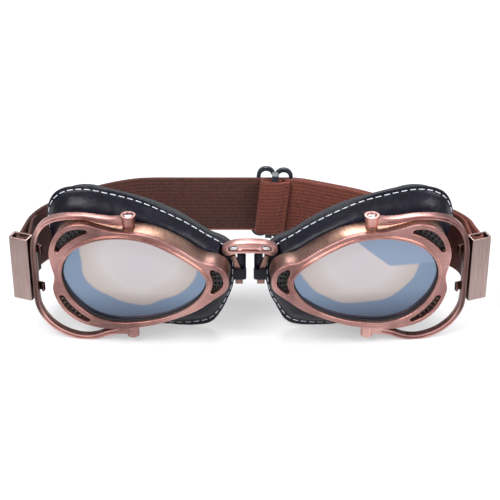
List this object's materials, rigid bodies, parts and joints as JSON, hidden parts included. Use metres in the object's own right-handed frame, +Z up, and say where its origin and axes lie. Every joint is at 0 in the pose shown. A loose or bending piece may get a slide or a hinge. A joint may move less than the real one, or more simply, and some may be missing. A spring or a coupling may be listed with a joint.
{
  "type": "steampunk goggles",
  "caption": "Vintage riding goggles with vented copper eye cups, mirror lenses, leather face pads, swinging strap bails and an elastic strap.",
  "frame": {"origin": "on the surface the goggles stand on, at the middle of their width and depth", "axes": "+X from the viewer's left to right, +Y from the lenses to the strap at the back, +Z up"},
  "size_m": [0.1878, 0.0664, 0.0625],
  "materials": {
    "copper": "satin",
    "copper_wall": "satin",
    "mirror_lens": "gloss",
    "rubber": "matte",
    "black_mesh": "matte",
    "steel": "polished",
    "brushed": "brushed",
    "leather": "satin",
    "foam": "matte",
    "webbing": "woven",
    "webbing_inner": "woven",
    "plastic": "satin"
  },
  "bodies": {
    "bridge": {"bridge_link": "copper", "bridge_pins": "steel"},
    "cup_left": {"bezel_left": "copper", "cup_left": "copper_wall", "lens_left": "mirror_lens", "gasket_left": "rubber", "vent_screen_left": "black_mesh", "pivot_screws_left": "steel", "face_pad_left": "leather", "face_foam_left": "foam", "nose_loop_left": "leather", "nose_bar_left": "copper_wall", "nose_hinge_left": "steel", "strap_left": "webbing"},
    "strap_bail_left": {"bail_left": "copper"},
    "strap_clasp_left": {"clasp_left": "brushed"},
    "cup_right": {"bezel_right": "copper", "cup_right": "copper_wall", "lens_right": "mirror_lens", "gasket_right": "rubber", "vent_screen_right": "black_mesh", "pivot_screws_right": "steel", "face_pad_right": "leather", "face_foam_right": "foam", "nose_loop_right": "leather", "nose_bar_right": "copper_wall", "nose_hinge_right": "steel", "strap_right": "webbing"},
    "strap_bail_right": {"bail_right": "copper"},
    "strap_clasp_right": {"clasp_right": "brushed"},
    "slider": {"strap_slider": "plastic", "strap_sewn_end": "webbing_inner"}
  },
  "joints": [
    {"name": "left_cup_fold", "type": "hinge", "parent": "bridge", "child": "cup_left", "pos_m": [-0.0054, -0.01837, 0.0396], "axis": [0, 0, -1], "range_deg": [-3, 7], "deforming": ["strap_left", "strap_right", "nose_loop_left"]},
    {"name": "left_bail_swing", "type": "hinge", "parent": "cup_left", "child": "strap_bail_left", "pos_m": [-0.0466, -0.02467, 0.0316], "axis": [0, 0, -1], "range_deg": [-30, 6], "deforming": ["strap_left"]},
    {"name": "left_clasp_turn", "type": "hinge", "parent": "strap_bail_left", "child": "strap_clasp_left", "pos_m": [-0.08439, -0.0207, 0.0316], "axis": [0, 0, -1], "range_deg": [-8, 8], "deforming": ["strap_left"]},
    {"name": "right_cup_fold", "type": "hinge", "parent": "bridge", "child": "cup_right", "pos_m": [0.0054, -0.01837, 0.0396], "axis": [0, 0, 1], "range_deg": [-3, 7], "deforming": ["strap_left", "strap_right", "nose_loop_right"]},
    {"name": "right_bail_swing", "type": "hinge", "parent": "cup_right", "child": "strap_bail_right", "pos_m": [0.0466, -0.02467, 0.0316], "axis": [0, 0, 1], "range_deg": [-30, 6], "deforming": ["strap_right"]},
    {"name": "right_clasp_turn", "type": "hinge", "parent": "strap_bail_right", "child": "strap_clasp_right", "pos_m": [0.08439, -0.0207, 0.0316], "axis": [0, 0, 1], "range_deg": [-8, 8], "deforming": ["strap_right"]},
    {"name": "slider_slide", "type": "slide", "parent": "cup_right", "child": "slider", "axis": [1, 0, 0], "range_m": [-0.025, 0], "deforming": ["strap_left", "strap_right"]}
  ]
}
